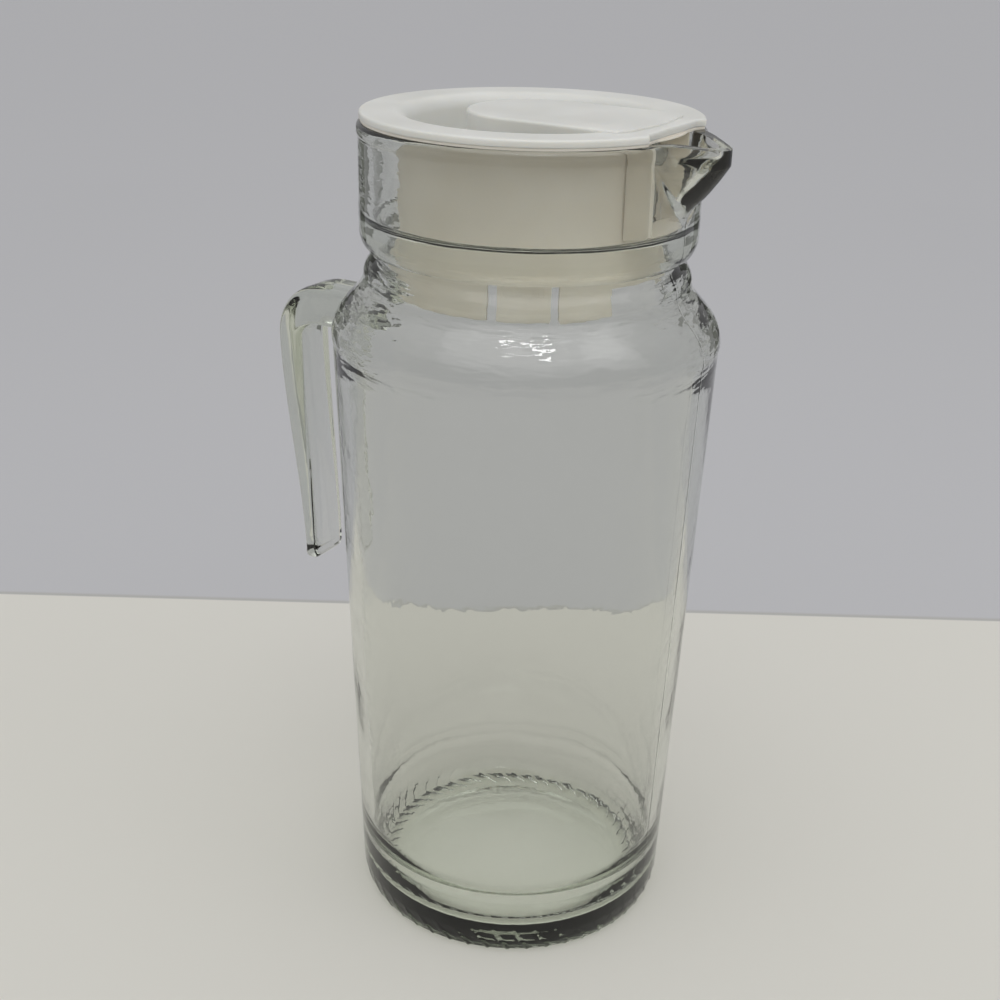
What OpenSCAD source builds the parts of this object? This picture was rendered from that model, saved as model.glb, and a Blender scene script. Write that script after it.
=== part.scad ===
// Glass jug with a push-in pouring lid.
// Millimetres. Z is up, the jug stands on z = 0, the spout points along +X, the handle along -X.

/* [Glass body] */
// Height of the glass from the table to its rim
glass_h = 242.2; // [200:0.1:300]
// Thickness of the glass wall
wall = 4; // [3:0.1:5]
// Radius of the body where the heel ends
heel_r = 48.6; // [44:0.1:52]
// Height of the rounded heel
heel_h = 8; // [5:0.5:12]
// Radius of the outer edge of the standing ring
foot_r = 45.9; // [41:0.1:47.5]
// Width of the standing ring
foot_w = 7; // [4:0.5:10]
// Height of the hollow under the base
punt_h = 3; // [1:0.5:5]
// Height of the inside floor above the table
base_t = 6.5; // [6:0.5:11]
// Radius inside the bottom corner
floor_round = 8; // [4:0.5:12]
// Height below which the wall thickens towards the base
thick_h = 20.5; // [19:0.5:32]
// Angle at which the wall thickens there
thick_angle = 11; // [2:1:15]
// Radius of the body just under the shoulder bead
body_r = 54.9; // [50:0.1:60]
// How far the shoulder bead stands proud of the body
bead_out = 0.4; // [0.2:0.1:1]
// Half the height of the shoulder bead
bead_h = 3; // [2:0.5:5]

/* [Neck and collar] */
// Height of the collar, from the rim to its lower corner
collar_h = 34.2; // [30:0.1:40]
// Radius of the collar
collar_r = 47.1; // [46.6:0.1:50]
// Height over which the collar's lower edge is rounded
collar_round = 6; // [3:0.5:8]
// How far the rim stands proud of the collar
rim_out = 0.4; // [0.2:0.1:1]
// Rounding of the rim's edges
rim_round = 1.5; // [0.5:0.1:1.8]
// Depth of the waist under the collar
waist_in = 3.6; // [2:0.1:4]
// Radius of the neck
neck_r = 46.1; // [45:0.1:48]
// Drop from the waist to the widest part of the neck
neck_drop = 7.2; // [5:0.1:9]
// Drop from the neck to the shoulder bead
shoulder_drop = 17.3; // [14:0.1:24]
// Depth inside the collar, from the rim to the ledge
ledge_depth = 25.2; // [22:0.1:28]
// Height of the narrow bore under the ledge
bore_h = 8; // [6:0.5:10]

/* [Spout] */
// Distance from the jug's axis to the tip of the spout
spout_reach = 58; // [54:0.5:66]
// Half the width of the spout where it leaves the collar
spout_half = 14.6; // [14:0.1:16]
// Rounding of the spout's tip
spout_tip_r = 4; // [3.3:0.1:5]
// Height of the lip along the spout
spout_lip = 3.4; // [2:0.1:5]
// How far the tip dips below the rim
spout_dip = 1.4; // [0:0.1:3]
// Depth of the spout's keel on the collar
spout_depth = 20; // [16:0.5:24]
// Glass left round the spout's channel
spout_wall = 2.4; // [2:0.1:2.8]

/* [Handle] */
// Width of the handle at its top
handle_w = 16; // [12:0.5:20]
// Width of the handle at its free end
handle_end_w = 15; // [10:0.5:20]
// Distance from the jug's axis to the handle's outer face
handle_reach = 85; // [80:0.5:95]
// Thickness of the handle below its corner
handle_t = 9.4; // [7:0.1:11]
// Thickness of the handle at its free end
handle_end_t = 5; // [4:0.1:7]
// How far the outer face leans in by its free end
handle_lean = 7.6; // [4:0.1:10]
// Thickness of the arm that leaves the shoulder
arm_t = 12.7; // [10:0.1:16]
// Height of the top of the arm below the rim
arm_drop = 55.2; // [54:0.1:60]
// Length of the handle from the arm's top to its free end
handle_len = 93; // [80:0.5:110]

/* [Lid cap] */
// Radius of the white flange
flange_r = 46.7; // [45.5:0.1:47.5]
// Thickness of the white flange
flange_t = 2; // [1.6:0.1:3]
// Depth of the finger well below the flange
well_depth = 15; // [10:0.5:20]
// Wall of the cap's sleeve, its well floor and its tongue
cap_wall = 1.2; // [1:0.1:1.5]
// Rounding where the flange falls into the well
well_round = 4; // [2:0.1:4.2]
// Half the width of the tongue grip
tongue_half = 19.3; // [16:0.1:22]
// Distance from the axis to the closed end of the tongue
tongue_back = 17.4; // [14:0.1:22]
// How far the tongue stands proud of the flange
tongue_rise = 0.6; // [0.2:0.1:1.5]
// Half the width of the notch at the spout
notch_half = 16.8; // [15:0.1:18]
// Depth of the notch into the flange
notch_depth = 4.9; // [3:0.1:6]
// Rounding of the notch's inner corners
notch_round = 3; // [1:0.5:3.5]

/* [Pouring insert] */
// Outer radius of the skirt
skirt_r = 36.2; // [35:0.1:36.5]
// Wall of the skirt and its fingers
skirt_wall = 1.2; // [1:0.1:1.5]
// Thickness of the flange under the cap
seat_t = 0.8; // [0.6:0.1:1.2]
// Outer radius of the fingers
finger_r = 38; // [37.5:0.1:38.2]
// Drop from the rim to the top of the fingers
finger_drop = 33.2; // [30:0.1:36]
// Length of the fingers
finger_len = 12.2; // [9:0.1:16]
// Length of the short skirt under the window
apron_len = 4.5; // [3:0.1:6]
// Half the angle of the short skirt
apron_angle = 25.6; // [22:0.1:28]
// Angle from the spout to the first slot
slot_1_angle = 49.5; // [47:0.1:52]
// Width of the first slot
slot_1_w = 2.1; // [1.5:0.1:3]
// Angle from the spout to the second slot
slot_2_angle = 73.9; // [72:0.1:78]
// Width of the second slot
slot_2_w = 2.6; // [1.5:0.1:3]
// Half the angle of a lug
lug_angle = 7.7; // [5:0.1:9]
// Height of a lug
lug_h = 5.5; // [4:0.1:7]
// Half the width of the pouring window
window_half = 11.5; // [9:0.1:11.6]
// Height of the sill under the window above the ledge
sill_gap = 0.3; // [0.2:0.1:1]

/* [Hidden] */
$fn = 120;
curve_steps = 8;
// Gap between pieces that slide or turn past each other
clear = 0.3;
// Overrun of a cut past the face it opens
over = 1;
// How far joined shapes reach into each other
bite = 0.5;

// Levels worked out from the rim down
waist_z = glass_h - collar_h;
neck_z = waist_z - neck_drop;
shoulder_z = neck_z - shoulder_drop;
ledge_z = glass_h - ledge_depth;
bore_z = ledge_z - bore_h;
waist_r = collar_r - waist_in;
collar_bore_r = collar_r - wall;
neck_bore_r = waist_r - wall + clear;
shoulder_r = body_r + bead_out;
rim_r = collar_r + rim_out;
// Reach of the curves at the shoulder and the neck, as shares of their drops
shoulder_pull_share = 0.49;
neck_pull_share = 0.35;
neck_low_share = 0.42;

// A point on a smooth curve that leaves a towards b and arrives at d from c
function bend(a, b, c, d, t) =
    a * pow(1 - t, 3) + 3 * b * t * pow(1 - t, 2) + 3 * c * t * t * (1 - t) + d * pow(t, 3);
function sweep(a, b, c, d) = [for (i = [0:curve_steps]) bend(a, b, c, d, i / curve_steps)];
// A quarter ellipse about centre c, from angle a0 to angle a1
function quarter(c, rx, rz, a0, a1) =
    [for (i = [0:curve_steps]) let (a = a0 + (a1 - a0) * i / curve_steps) c + [rx * cos(a), rz * sin(a)]];

// Outline of the shoulder and neck, moved in by one wall for the inside
function shoulder_line(inset, top_z) = sweep(
    [shoulder_r - inset, shoulder_z - inset / 2],
    [shoulder_r - inset, shoulder_z - inset / 2 + shoulder_drop * shoulder_pull_share],
    [neck_r - inset, top_z - shoulder_drop * neck_pull_share],
    [neck_r - inset, top_z]);

function outer_line() = concat(
    [[0, 0]],
    quarter([foot_r, heel_h], heel_r - foot_r, heel_h, -90, 0),
    sweep(
        [body_r, shoulder_z - bead_h],
        [body_r, shoulder_z - bead_h * neck_low_share],
        [shoulder_r, shoulder_z - bead_h * neck_low_share],
        [shoulder_r, shoulder_z]),
    shoulder_line(0, neck_z),
    sweep(
        [neck_r, neck_z],
        [neck_r, neck_z + neck_drop * neck_low_share],
        [waist_r, waist_z - neck_drop * neck_low_share],
        [waist_r, waist_z]),
    sweep(
        [waist_r, waist_z],
        [collar_r - waist_in * neck_low_share, waist_z],
        [collar_r, waist_z + collar_round * neck_low_share],
        [collar_r, waist_z + collar_round]),
    [[collar_r, glass_h - rim_round * 3]],
    quarter([rim_r - rim_round, glass_h - rim_round], rim_round, rim_round, 0, 90),
    [[0, glass_h]]);

inner_heel_r = heel_r - wall;
inner_slope = (body_r - heel_r) / (shoulder_z - bead_h - heel_h);
inner_low_r = inner_heel_r + inner_slope * (thick_h - heel_h);
// Where the rounded corner takes over from the thickened wall
corner_z = base_t + floor_round * (1 - sin(thick_angle));
floor_r = inner_low_r - (thick_h - corner_z) * tan(thick_angle) - floor_round * cos(thick_angle);

function inner_line() = concat(
    [[0, base_t]],
    quarter([floor_r, base_t + floor_round], floor_round, floor_round, -90, -thick_angle),
    [
        [inner_low_r, thick_h],
        [body_r - wall, shoulder_z - wall]
    ],
    shoulder_line(wall, neck_z - wall / 2),
    sweep(
        [neck_r - wall, neck_z - wall / 2],
        [neck_r - wall, neck_z + neck_drop * neck_low_share],
        [neck_bore_r + rim_round, bore_z],
        [neck_bore_r, bore_z + rim_round]),
    quarter([neck_bore_r + rim_round, ledge_z - rim_round], rim_round, rim_round, 180, 90),
    quarter([collar_bore_r - rim_round, ledge_z + rim_round], rim_round, rim_round, -90, 0),
    [
        [collar_bore_r, glass_h - rim_round],
        [collar_bore_r + rim_round / 2, glass_h],
        [collar_bore_r + rim_round / 2, glass_h + over],
        [0, glass_h + over]
    ]);

// Hollow under the base: a shallow cap of a large ball, inside the standing ring
punt_r = foot_r - foot_w;
punt_ball_r = (punt_r * punt_r + punt_h * punt_h) / (2 * punt_h);
punt_angle = asin(punt_r / punt_ball_r);

module punt() {
    rotate_extrude()
        polygon(concat(
            [[0, -over], [punt_r, -over]],
            quarter([0, punt_h - punt_ball_r], punt_ball_r, punt_ball_r, 90 - punt_angle, 90)));
}

// Spout: a pointed lip over a keel that runs down onto the collar
keel_r = spout_tip_r + bite;
keel_z = glass_h - spout_depth;

module spout_outer() {
    hull() {
        translate([collar_bore_r, -spout_half, glass_h - spout_lip])
            cube([wall / 2, spout_half * 2, spout_lip]);
        translate([spout_reach - spout_tip_r, 0, glass_h - spout_dip - spout_lip])
            cylinder(r = spout_tip_r, h = spout_lip, $fn = 32);
        translate([collar_bore_r, 0, keel_z])
            cylinder(r = keel_r, h = spout_lip, $fn = 32);
    }
}

// The channel follows the lip and the keel, one glass thickness inside them
channel_half = spout_half - spout_wall - bite;
channel_lip = spout_lip - spout_wall / 2;

module spout_channel() {
    hull() {
        translate([collar_bore_r - wall / 2, -channel_half, glass_h - channel_lip])
            cube([wall / 2, channel_half * 2, channel_lip + over]);
        translate([spout_reach - spout_tip_r, 0, glass_h - spout_dip - channel_lip])
            cylinder(r = spout_tip_r - spout_wall, h = channel_lip + spout_dip + over, $fn = 32);
        translate([collar_bore_r - wall / 2, 0, keel_z + spout_lip])
            cylinder(r = keel_r - spout_wall, h = spout_lip, $fn = 32);
    }
}

// Handle: a strap seen from its side, then narrowed from its front
arm_z = glass_h - arm_drop;
handle_end_z = arm_z - handle_len;
corner_x = handle_reach - handle_t;
end_outer_x = handle_reach - handle_lean;
end_inner_x = end_outer_x - handle_end_t;
handle_root_x = body_r - wall / 2;
// Shares of the arm's thickness and of the strap's length that shape the bends
corner_share = 1.3;
inner_corner_share = 0.45;
strap_pull_share = 0.3;

function handle_side() = concat(
    [[handle_root_x, arm_z]],
    sweep(
        [corner_x - arm_t * inner_corner_share, arm_z],
        [handle_reach - arm_t * inner_corner_share, arm_z],
        [handle_reach, arm_z - arm_t * inner_corner_share],
        [handle_reach, arm_z - arm_t * corner_share]),
    sweep(
        [handle_reach, arm_z - arm_t * corner_share],
        [handle_reach, arm_z - arm_t * corner_share - handle_len * strap_pull_share],
        [end_outer_x, handle_end_z + handle_len * strap_pull_share],
        [end_outer_x, handle_end_z + handle_end_t / 2]),
    quarter(
        [(end_outer_x + end_inner_x) / 2, handle_end_z + handle_end_t / 2],
        handle_end_t / 2, handle_end_t / 2, 0, -180),
    sweep(
        [corner_x, arm_z - arm_t - arm_t * inner_corner_share],
        [corner_x, arm_z - arm_t],
        [corner_x, arm_z - arm_t],
        [corner_x - arm_t * inner_corner_share, arm_z - arm_t]),
    [[handle_root_x, arm_z - arm_t]]);

module handle() {
    intersection() {
        rotate([90, 0, 180])
            translate([0, 0, -handle_w])
                linear_extrude(height = handle_w * 2)
                    polygon(handle_side());
        rotate([90, 0, -90])
            linear_extrude(height = handle_reach + over)
                polygon([
                    [-handle_w / 2, arm_z + over],
                    [handle_w / 2, arm_z + over],
                    [handle_w / 2, arm_z - arm_t],
                    [handle_end_w / 2, handle_end_z - over],
                    [-handle_end_w / 2, handle_end_z - over],
                    [-handle_w / 2, arm_z - arm_t]
                ]);
    }
}

module glass_jug() {
    color([0.78, 0.84, 0.80, 0.45])
        difference() {
            union() {
                rotate_extrude()
                    polygon(outer_line());
                spout_outer();
                handle();
            }
            rotate_extrude()
                polygon(inner_line());
            spout_channel();
            punt();
        }
}

// Notch that both lid flanges leave open over the spout
notch_x = flange_r - notch_depth;

module notch_cut(low_z, high_z) {
    translate([0, 0, low_z - over])
        linear_extrude(height = high_z - low_z + over * 2)
            union() {
                translate([notch_x + notch_round, -notch_half])
                    square([notch_depth + over, notch_half * 2]);
                translate([notch_x, notch_round - notch_half])
                    square([notch_depth + over, (notch_half - notch_round) * 2]);
                for (side = [-1, 1])
                    translate([notch_x + notch_round, side * (notch_half - notch_round)])
                        circle(r = notch_round);
            }
}

// Levels of the lid
seat_z = glass_h;
cap_z = seat_z + seat_t;
top_z = cap_z + flange_t;
skirt_in_r = skirt_r - skirt_wall;
sleeve_r = skirt_in_r - clear;
sleeve_in_r = sleeve_r - cap_wall;
finger_z = glass_h - finger_drop;
finger_low_z = finger_z - finger_len;
sill_z = ledge_z + sill_gap;

module ring(r_out, r_in, low_z, high_z) {
    rotate_extrude()
        translate([r_in, low_z])
            square([r_out - r_in, high_z - low_z]);
}

module slot(angle, width) {
    rotate(angle)
        translate([skirt_in_r - skirt_wall, -width / 2, finger_low_z - over])
            cube([finger_r - skirt_in_r + skirt_wall * 2, width, finger_len + over - skirt_wall / 2]);
}

// A lug wedges outwards to the bore that it holds the lid in
module lug(angle) {
    lug_top = finger_z - clear;
    rotate(angle - lug_angle)
        rotate_extrude(angle = lug_angle * 2)
            polygon([
                [finger_r - bite, lug_top - lug_h],
                [finger_r, lug_top - lug_h],
                [neck_bore_r - clear, lug_top - clear],
                [neck_bore_r - clear, lug_top],
                [finger_r - bite, lug_top]
            ]);
}

// Two walls and a sill lead the drink from the window out to the glass
module guides() {
    for (side = [-1, 1])
        translate([skirt_in_r - skirt_wall, side * (window_half + skirt_wall / 2) - skirt_wall / 2, sill_z])
            cube([flange_r - skirt_in_r, skirt_wall, seat_z + seat_t / 2 - sill_z]);
    translate([skirt_in_r - skirt_wall, -window_half - skirt_wall / 2, sill_z])
        cube([flange_r - skirt_in_r, window_half * 2 + skirt_wall, skirt_wall]);
}

// The space that the guides may fill: clear of the collar's bore and of the ledge's rounded corner
module guide_space() {
    rotate_extrude()
        polygon([
            [skirt_in_r, sill_z],
            [collar_bore_r - clear - rim_round, sill_z],
            [collar_bore_r - clear, sill_z + rim_round],
            [collar_bore_r - clear, cap_z],
            [skirt_in_r, cap_z]
        ]);
}

module pour_insert() {
    color([0.86, 0.82, 0.73])
        difference() {
            union() {
                ring(flange_r - clear, skirt_in_r, seat_z, cap_z);
                ring(skirt_r, skirt_in_r, finger_z, cap_z);
                ring(finger_r, skirt_in_r, finger_z, finger_z + skirt_wall);
                ring(finger_r, finger_r - skirt_wall, finger_low_z, finger_z + skirt_wall / 2);
                intersection() {
                    guides();
                    guide_space();
                }
                for (side = [-1, 1])
                    lug(side * (slot_1_angle + slot_2_angle) / 2);
            }
            notch_cut(seat_z, cap_z);
            translate([0, -window_half, sill_z + skirt_wall])
                cube([skirt_r + skirt_wall, window_half * 2, seat_z - sill_z - skirt_wall]);
            for (side = [-1, 1]) {
                slot(side * slot_1_angle, slot_1_w);
                slot(side * slot_2_angle, slot_2_w);
            }
            rotate(-apron_angle)
                rotate_extrude(angle = apron_angle * 2)
                    translate([skirt_in_r - over, finger_low_z - over])
                        square([finger_r - skirt_in_r + over * 2, finger_len - apron_len + over]);
        }
}

// Lip on the end of the sleeve that holds the cap under the insert's step
sleeve_lip = 0.6;
sleeve_lip_h = 1.4;
sleeve_low_z = finger_z - clear - sleeve_lip_h;
well_z = top_z - well_depth;

module tongue_plan(inset) {
    translate([tongue_half - tongue_back, 0])
        circle(r = tongue_half - inset);
    translate([tongue_half - tongue_back, inset - tongue_half])
        square([flange_r, (tongue_half - inset) * 2]);
}

module cap_shell() {
    rotate_extrude()
        polygon(concat(
            [
                [sleeve_in_r, sleeve_low_z],
                [sleeve_r + sleeve_lip, sleeve_low_z],
                [sleeve_r + sleeve_lip, sleeve_low_z + sleeve_lip_h],
                [sleeve_r, sleeve_low_z + sleeve_lip_h],
                [sleeve_r, cap_z],
                [flange_r - flange_t / 4, cap_z],
                [flange_r, cap_z + flange_t / 4],
                [flange_r, top_z - flange_t / 3],
                [flange_r - flange_t / 3, top_z]
            ],
            quarter([sleeve_in_r + well_round, top_z - well_round], well_round, well_round, 90, 180)));
}

module tongue() {
    intersection() {
        difference() {
            translate([0, 0, well_z - cap_wall])
                linear_extrude(height = top_z + tongue_rise - well_z + cap_wall)
                    tongue_plan(0);
            translate([0, 0, well_z - cap_wall - over])
                linear_extrude(height = well_depth + over + cap_wall - flange_t + seat_t)
                    tongue_plan(cap_wall);
        }
        translate([0, 0, sleeve_low_z])
            cylinder(r = sleeve_in_r + well_round, h = top_z + tongue_rise - sleeve_low_z);
    }
}

module lid_cap() {
    color([0.97, 0.97, 0.95])
        difference() {
            union() {
                cap_shell();
                difference() {
                    translate([0, 0, well_z - cap_wall])
                        cylinder(r = sleeve_r - bite, h = cap_wall);
                    translate([0, 0, well_z - cap_wall - over])
                        linear_extrude(height = cap_wall + over * 2)
                            tongue_plan(cap_wall);
                }
                intersection() {
                    tongue();
                    union() {
                        translate([0, 0, sleeve_low_z])
                            cylinder(r = sleeve_r - bite, h = top_z + tongue_rise - sleeve_low_z);
                        translate([0, 0, cap_z])
                            cylinder(r = flange_r, h = flange_t + tongue_rise);
                    }
                }
            }
            notch_cut(cap_z, top_z + tongue_rise);
            translate([0, -window_half - clear, sill_z])
                cube([sleeve_r + over, (window_half + clear) * 2, cap_z - sill_z]);
        }
}

glass_jug();
pour_insert();
lid_cap();
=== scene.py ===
from math import atan2, cos, degrees, hypot, pi, radians, sin, sqrt, tan

import bmesh
import bpy
from mathutils import Matrix, Vector, noise


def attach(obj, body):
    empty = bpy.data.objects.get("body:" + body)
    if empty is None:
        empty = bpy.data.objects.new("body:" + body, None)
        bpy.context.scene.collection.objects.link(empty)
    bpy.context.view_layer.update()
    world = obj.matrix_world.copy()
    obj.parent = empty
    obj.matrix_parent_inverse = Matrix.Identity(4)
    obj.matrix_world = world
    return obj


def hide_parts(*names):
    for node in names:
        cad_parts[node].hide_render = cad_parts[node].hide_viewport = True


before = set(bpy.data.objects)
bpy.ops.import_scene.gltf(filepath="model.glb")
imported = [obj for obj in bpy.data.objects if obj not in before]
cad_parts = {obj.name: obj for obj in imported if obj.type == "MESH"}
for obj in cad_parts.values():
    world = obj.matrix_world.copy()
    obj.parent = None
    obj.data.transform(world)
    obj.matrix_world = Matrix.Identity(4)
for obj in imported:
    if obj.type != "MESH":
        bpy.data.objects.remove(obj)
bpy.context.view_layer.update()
mm = 0.001
print("frame loaded")


# Camera: the photograph's viewpoint, in the jug's own frame
cameraView = {
    "place": (0.19709, -0.34835, 0.30425),
    "turn": (66.517, -1.278, 30.937),  # degrees about X, Y and Z
    "lens": 52.2,
    "sensor": 36.0,
}


def setCamera(view):
    data = bpy.data.cameras.new("camera")
    data.lens = view["lens"]
    data.sensor_width = view["sensor"]
    camera = bpy.data.objects.new("camera", data)
    camera.location = view["place"]
    camera.rotation_euler = [radians(a) for a in view["turn"]]
    bpy.context.scene.collection.objects.link(camera)
    bpy.context.scene.camera = camera


setCamera(cameraView)
bpy.context.scene.view_settings.view_transform = "Standard"
print("camera set")


roundPull = 0.42  # how far a rounded corner's curve leans back from the corner
mergeDistance = 0.004 * mm  # points closer than this are one point


# Small helpers for outlines, in millimetres
def bend(a, b, c, d, steps):
    line = []
    for i in range(steps + 1):
        t = i / steps
        k = ((1 - t) ** 3, 3 * t * (1 - t) ** 2, 3 * t * t * (1 - t), t ** 3)
        line.append(tuple(k[0] * p + k[1] * q + k[2] * r + k[3] * s for p, q, r, s in zip(a, b, c, d)))
    return line


def arc(centre, radiusX, radiusZ, start, end, steps):
    angles = [radians(start + (end - start) * i / steps) for i in range(steps + 1)]
    return [(centre[0] + radiusX * cos(a), centre[1] + radiusZ * sin(a)) for a in angles]


def straight(a, b, steps):
    return [tuple(p + (q - p) * i / steps for p, q in zip(a, b)) for i in range(steps + 1)]


def smoothStep(value, low, high):
    t = min(max((value - low) / (high - low), 0), 1)
    return t * t * (3 - 2 * t)


def blendMax(a, b, width):  # the larger of two, with a soft fillet where they meet
    h = max(width - abs(a - b), 0) / width
    return max(a, b) + h * h * width / 4


# Small helpers for meshes
def outlineChain(points, turn=0, closed=False):  # an outline of (radius, height) stood up at an angle
    bm = bmesh.new()
    verts = [bm.verts.new((r * cos(turn) * mm, r * sin(turn) * mm, z * mm)) for r, z in points]
    for a, b in zip(verts, verts[1:]):
        bm.edges.new((a, b))
    if closed:
        bm.edges.new((verts[-1], verts[0]))
    return bm


def spinOutline(points, fineHalf, fineSteps, coarseSteps, closed=False):
    # A full turn in two parts: narrow columns on the spout's side, wider ones elsewhere
    half = radians(fineHalf)
    bm = outlineChain(points, -half, closed)
    parts = bm.verts[:] + bm.edges[:]
    for angle, steps in ((2 * half, fineSteps), (2 * pi - 2 * half, coarseSteps)):
        turned = bmesh.ops.spin(bm, geom=parts, cent=(0, 0, 0), axis=(0, 0, 1), angle=angle, steps=steps)
        parts = turned["geom_last"]
    bmesh.ops.remove_doubles(bm, verts=bm.verts, dist=0.002 * mm)  # closes the seam and the poles
    bmesh.ops.recalc_face_normals(bm, faces=bm.faces)
    return bm


def finishObject(bm, name, sharpAngle=35):
    for face in bm.faces:
        face.smooth = True
    for edge in bm.edges:
        edge.smooth = len(edge.link_faces) != 2 or edge.calc_face_angle(0) < radians(sharpAngle)
    mesh = bpy.data.meshes.new(name)
    bm.to_mesh(mesh)
    bm.free()
    piece = bpy.data.objects.new(name, mesh)
    bpy.context.scene.collection.objects.link(piece)
    return piece


def combine(piece, other, operation):  # joins or cuts with another closed mesh, which is then removed
    cut = piece.modifiers.new(operation, "BOOLEAN")
    cut.operation = operation
    cut.solver = "EXACT"
    cut.object = other
    graph = bpy.context.evaluated_depsgraph_get()
    result = bpy.data.meshes.new_from_object(piece.evaluated_get(graph))
    piece.modifiers.clear()
    old = piece.data
    piece.data = result
    bpy.data.meshes.remove(old)
    bpy.data.objects.remove(other)
    return piece


def openMesh(piece, distance):  # the piece's mesh for editing, its doubles merged
    bm = bmesh.new()
    bm.from_mesh(piece.data)
    bmesh.ops.remove_doubles(bm, verts=bm.verts, dist=distance)
    return bm


def replacePiece(old, bm, name, sharpAngle):
    mesh = old.data
    bpy.data.objects.remove(old)
    bpy.data.meshes.remove(mesh)
    return finishObject(bm, name, sharpAngle)


# Glass jug: one pressed soda-lime moulding with its spout and its strap handle
jug = {
    "height": 242.2, "wall": 4.0, "heelRadius": 48.6, "heelHeight": 8.0,
    "footRadius": 45.9, "footWidth": 7.0, "punt": 3.0, "base": 6.5, "floorRound": 8.0,
    "thickHeight": 20.5, "thickAngle": 11.0, "creaseHeight": 0.55, "creaseHalf": 1.3,
    "bodyRadius": 54.9, "beadOut": 0.39, "beadHalf": 3.0,
    "collarHeight": 34.2, "collarRadius": 47.1, "collarRound": 6.0, "rimOut": 0.4, "rimRound": 1.5,
    "waistIn": 3.6, "neckRadius": 46.1, "neckDrop": 7.2, "shoulderDrop": 17.3,
    "shoulderPull": 0.49, "neckPull": 0.35,  # shares of the shoulder's drop that shape its curve
    "ledgeDepth": 25.2, "boreHeight": 8.0, "clear": 0.3,
    "knurlBars": 48, "knurlLean": 1.1, "knurlHalf": 1.0, "knurlHeight": 0.45,
    "knurlInner": 39.9, "knurlOuter": 47.2, "knurlHeel": 0.3, "knurlTop": 7.4,
    "seamHeight": 0.07, "seamHalf": 0.28, "seamBack": 0.3,
    "waveHeight": 0.13, "waveLength": 17.0, "waveNeck": 1.6, "waveFrom": 12.0, "waveTo": 192.0, "waveInner": 30.0,
    "fineHalf": 24.0, "fineSteps": 80, "coarseSteps": 184, "sharpAngle": 50, "merge": 0.005,
}
spout = {
    "reach": 57.98, "tipRound": 4.0, "sideSlope": 1.22, "dip": 1.4,
    "keelTop": 237.6, "keelLow": 222.6, "keelBulge": 1.2, "fillet": 2.6,
    "channelReach": 54.7, "channelTop": 240.2, "channelLow": 228.0, "channelRound": 2.2, "channelSlope": 1.22,
    "channelFillet": 1.6, "lipHigh": 230.0,
}


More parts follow.
